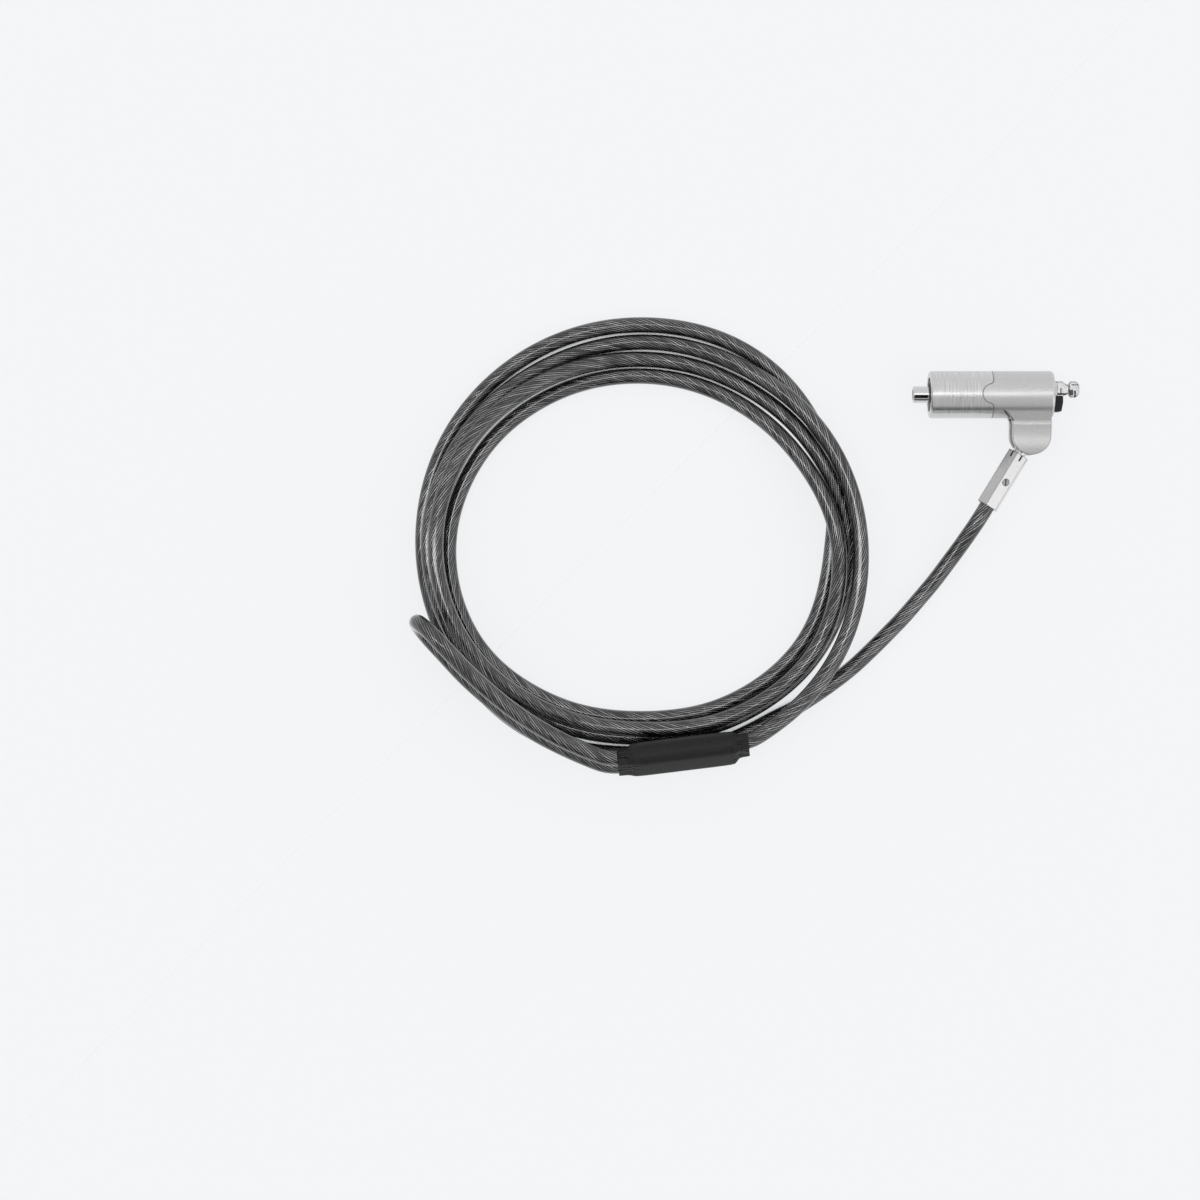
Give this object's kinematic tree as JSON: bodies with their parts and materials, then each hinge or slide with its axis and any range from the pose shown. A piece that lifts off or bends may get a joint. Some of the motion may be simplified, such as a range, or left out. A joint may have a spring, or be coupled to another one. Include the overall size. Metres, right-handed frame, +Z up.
{
  "type": "laptop cable lock",
  "caption": "Push-to-lock keyed laptop lock: round metal barrel with a turning T-bar tip, hinged clevis, swivelling hex ferrule and a coiled steel cable ending in an anchor loop.",
  "frame": {"origin": "on the table the lock lies on, below the middle of the head, link and ferrule in plan", "axes": "+X along the barrel, towards the locking tip; +Z up from the table; +Y away from the side the cable leaves on"},
  "size_m": [0.2335, 0.1609, 0.0355],
  "materials": {
    "rear_shell_metal": "brushed round the barrel",
    "front_shell_metal": "fine satin",
    "hardened_steel": "plain turned",
    "plated_steel": "polished nickel plate",
    "slider_brass": "turned",
    "wafer_brass": "stamped",
    "ferrule_metal": "satin nickel plate",
    "spring_steel": "drawn wire",
    "pad_rubber": "matt black",
    "sleeve_rubber": "shrunk tube, slight sheen",
    "cable_jacket": "clear smoky jacket over twisted steel rope",
    "crimp_aluminium": "pressed"
  },
  "bodies": {
    "cable": {"ferrule": "ferrule_metal", "ferrule_screw": "hardened_steel", "cable_lead": "cable_jacket", "cable_coil": "cable_jacket", "cable_loop": "cable_jacket", "loop_crimp": "crimp_aluminium", "shrink_sleeve": "sleeve_rubber"},
    "link": {"swivel_link": "plated_steel"},
    "head": {"rear_shell": "rear_shell_metal", "front_shell": "front_shell_metal", "core_sleeve": "hardened_steel", "rear_bush": "hardened_steel", "latch_ring": "hardened_steel", "guide_pin": "hardened_steel", "shell_pins": "hardened_steel", "tang_boss": "plated_steel", "grip_pad": "pad_rubber", "pivot_pin": "plated_steel", "return_spring": "spring_steel"},
    "plunger": {"plunger": "plated_steel", "cam_slider": "slider_brass"},
    "key_plug": {"key_plug": "plated_steel", "wafer_tumblers": "wafer_brass", "latch_pin": "hardened_steel"},
    "tip": {"tip_bar": "plated_steel", "cam_pin": "hardened_steel", "spindle_collar": "hardened_steel"}
  },
  "joints": [
    {"name": "ferrule_swivel", "type": "hinge", "parent": "cable", "child": "link", "pos_m": [0.01195, 0.00198, 0.00825], "axis": [-0.521, -0.8536, 0], "continuous": true},
    {"name": "clevis_hinge", "type": "hinge", "parent": "link", "child": "head", "pos_m": [0.01195, 0.00198, 0.00825], "axis": [0, 0, 1], "range_deg": [-118, 55]},
    {"name": "plunger_push", "type": "slide", "parent": "head", "child": "plunger", "axis": [1, 0, 0], "range_m": [0, 0.004], "stiffness_N_per_m": 500, "springref_m": -0.002, "deforming": ["return_spring"]},
    {"name": "key_turn", "type": "hinge", "parent": "plunger", "child": "key_plug", "pos_m": [-0.0233, 0.01638, 0.00825], "axis": [1, 0, 0], "range_deg": [0, 90]},
    {"name": "tip_turn", "type": "hinge", "parent": "head", "child": "tip", "pos_m": [0.0199, 0.01818, 0.00825], "axis": [1, 0, 0], "range_deg": [0, 90]}
  ],
  "couplings": [
    {"joint": "tip_turn", "follows": "plunger_push", "rad_per_m": 392.6}
  ]
}
